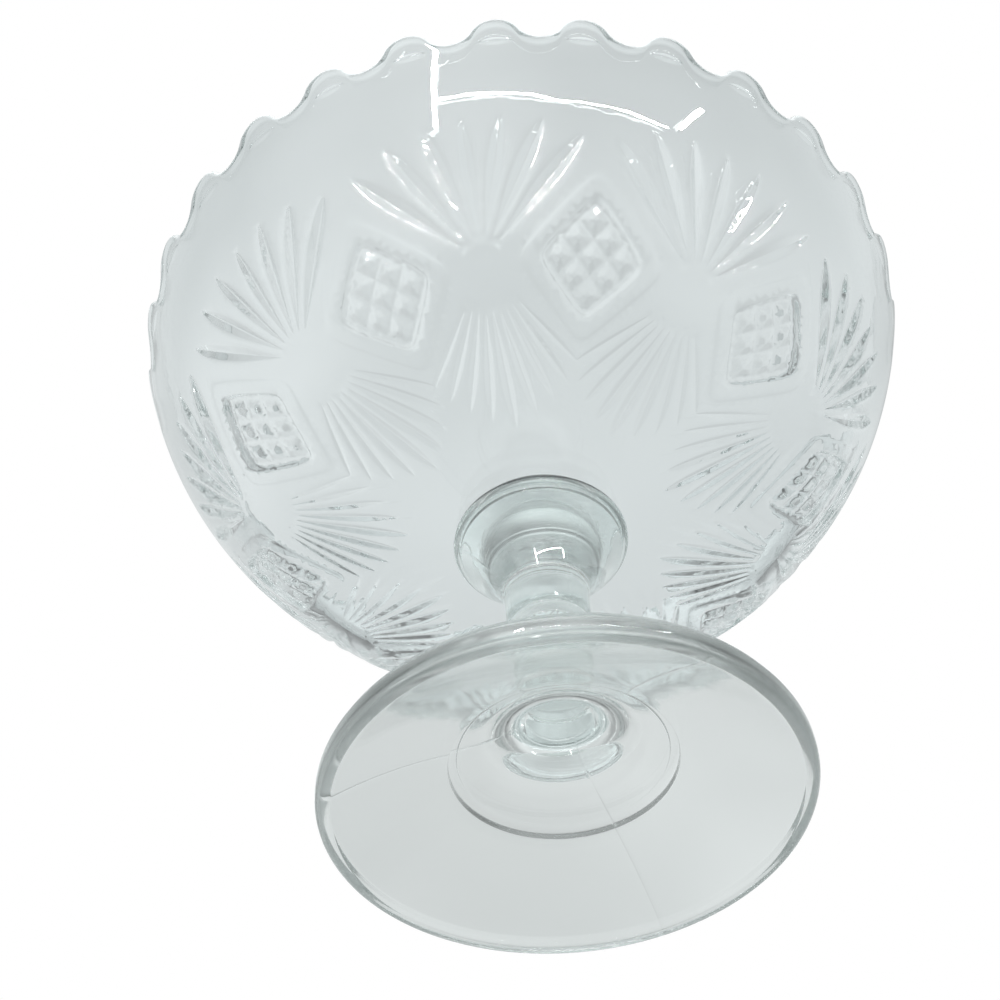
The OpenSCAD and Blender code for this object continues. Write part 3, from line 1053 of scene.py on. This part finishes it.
def floor():
    """A pale floor that can't be seen from below, nor through or in the glass."""
    data = bpy.data.meshes.new("floor")
    corners = ((-1, -1), (1, -1), (1, 1), (-1, 1))
    points = [(x * FLOOR_SIZE, y * FLOOR_SIZE, FLOOR_Z) for x, y in corners]
    data.from_pydata(points, [], [(0, 1, 2, 3)])
    made = bpy.data.objects.new("floor", data)
    bpy.context.scene.collection.objects.link(made)
    material = bpy.data.materials.new("pale_floor")
    material.use_nodes = True
    tree = material.node_tree
    tree.nodes.clear()
    out = node(tree, "ShaderNodeOutputMaterial")
    pale = node(tree, "ShaderNodeBsdfDiffuse")
    pale.inputs["Color"].default_value = FLOOR_TINT
    clear = node(tree, "ShaderNodeBsdfTransparent")
    side = node(tree, "ShaderNodeNewGeometry")
    path = node(tree, "ShaderNodeLightPath")
    seen = node(tree, "ShaderNodeMath", operation="MAXIMUM")
    gone = node(tree, "ShaderNodeMath", operation="MAXIMUM")
    mix = node(tree, "ShaderNodeMixShader")
    tree.links.new(path.outputs["Is Glossy Ray"], seen.inputs[0])
    tree.links.new(path.outputs["Is Transmission Ray"], seen.inputs[1])
    tree.links.new(seen.outputs["Value"], gone.inputs[0])
    tree.links.new(side.outputs["Backfacing"], gone.inputs[1])
    tree.links.new(gone.outputs["Value"], mix.inputs["Fac"])
    tree.links.new(pale.outputs["BSDF"], mix.inputs[1])
    tree.links.new(clear.outputs["BSDF"], mix.inputs[2])
    tree.links.new(mix.outputs["Shader"], out.inputs["Surface"])
    data.materials.append(material)


# Thin strip lamps on the camera's side of the bowl: both ends and the width, in metres
STRIPS = (
    ((-0.155, -0.97, 0.18), (-0.10, -0.92, 0.74), 0.019),
    ((-0.13, -0.96, 0.327), (0.43, -1.22, 0.315), 0.015),
    ((0.43, -1.22, 0.315), (0.96, -0.945, 0.30), 0.015),
    ((0.955, -0.85, 0.327), (1.00, -0.725, 0.54), 0.026),
)
STRIP_GLOW = 260.0
STRIP_AIM = (0.0, -0.08, 0.12)  # the place that they face


def strip(name, start, end, wide):
    """A strip lamp from start to end that faces the bowl."""
    start, end = Vector(start), Vector(end)
    along = end - start
    data = bpy.data.lights.new(name, "AREA")
    data.shape = "RECTANGLE"
    data.size, data.size_y = along.length, wide
    data.energy = STRIP_GLOW * math.pi * along.length * wide
    made = bpy.data.objects.new(name, data)
    bpy.context.scene.collection.objects.link(made)
    middle = (start + end) / 2
    x = along.normalized()
    z = middle - Vector(STRIP_AIM)
    z = (z - z.dot(x) * x).normalized()
    pose = Matrix((x, z.cross(x), z)).transposed().to_4x4()
    pose.translation = middle
    made.matrix_world = pose
    made.visible_camera = False


# The photograph's camera: below the foot, looking up at the underside
CAMERA_AT = (240.34, 191.21)  # distance out and down from the middle of the foot's resting plane
CAMERA_TURN = 5.08
CAMERA_PITCH = 50.2
CAMERA_YAW = -2.13
CAMERA_ROLL = -4.36
CAMERA_LENS = 54.8
CAMERA_SENSOR = 36
CAMERA_NEAR = 0.005  # in metres


def camera():
    """The camera at the photograph's angle."""
    yaw, pitch, roll = (math.radians(a) for a in (CAMERA_YAW, CAMERA_PITCH, CAMERA_ROLL))
    level = math.cos(pitch)
    ahead = Vector((math.sin(yaw) * level, math.cos(yaw) * level, math.sin(pitch)))
    right = Vector((math.cos(yaw), -math.sin(yaw), 0))
    up = right.cross(ahead)
    right, up = (
        math.cos(roll) * right + math.sin(roll) * up,
        math.cos(roll) * up - math.sin(roll) * right,
    )
    turn = Matrix.Rotation(math.radians(CAMERA_TURN), 3, "Z")
    data = bpy.data.cameras.new("camera")
    data.lens = CAMERA_LENS
    data.sensor_width = CAMERA_SENSOR
    data.clip_start = CAMERA_NEAR
    made = bpy.data.objects.new("camera", data)
    bpy.context.scene.collection.objects.link(made)
    pose = Matrix((turn @ right, turn @ up, turn @ -ahead)).transposed().to_4x4()
    pose.translation = turn @ Vector((0, -CAMERA_AT[0], -CAMERA_AT[1])) * MM
    made.matrix_world = pose
    bpy.context.scene.camera = made


camera()
world_light()
floor()
for number, (start, end, wide) in enumerate(STRIPS):
    strip(f"strip_lamp_{number}", start, end, wide)
bowl_glass = glass("bowl_glass", *BOWL_TINTS, BOWL_DENSITY)
joint_glass = glass("joint_glass", *JOINT_TINTS, BOWL_DENSITY)
base_glass = glass("base_glass", *BASE_TINTS, BASE_DENSITY, worn=WORN)
piece("pressed_bowl", bowl_mesh(), "bowl", bowl_glass)
piece("joining_glass", wafer_mesh(), "joining_wafer", joint_glass)
piece("footed_stem", base_mesh(), "base", base_glass)

scene = bpy.context.scene
scene.cycles.max_bounces = LIGHT_BOUNCES
scene.cycles.transmission_bounces = LIGHT_BOUNCES
scene.cycles.glossy_bounces = LIGHT_BOUNCES
scene.view_settings.view_transform = "Standard"
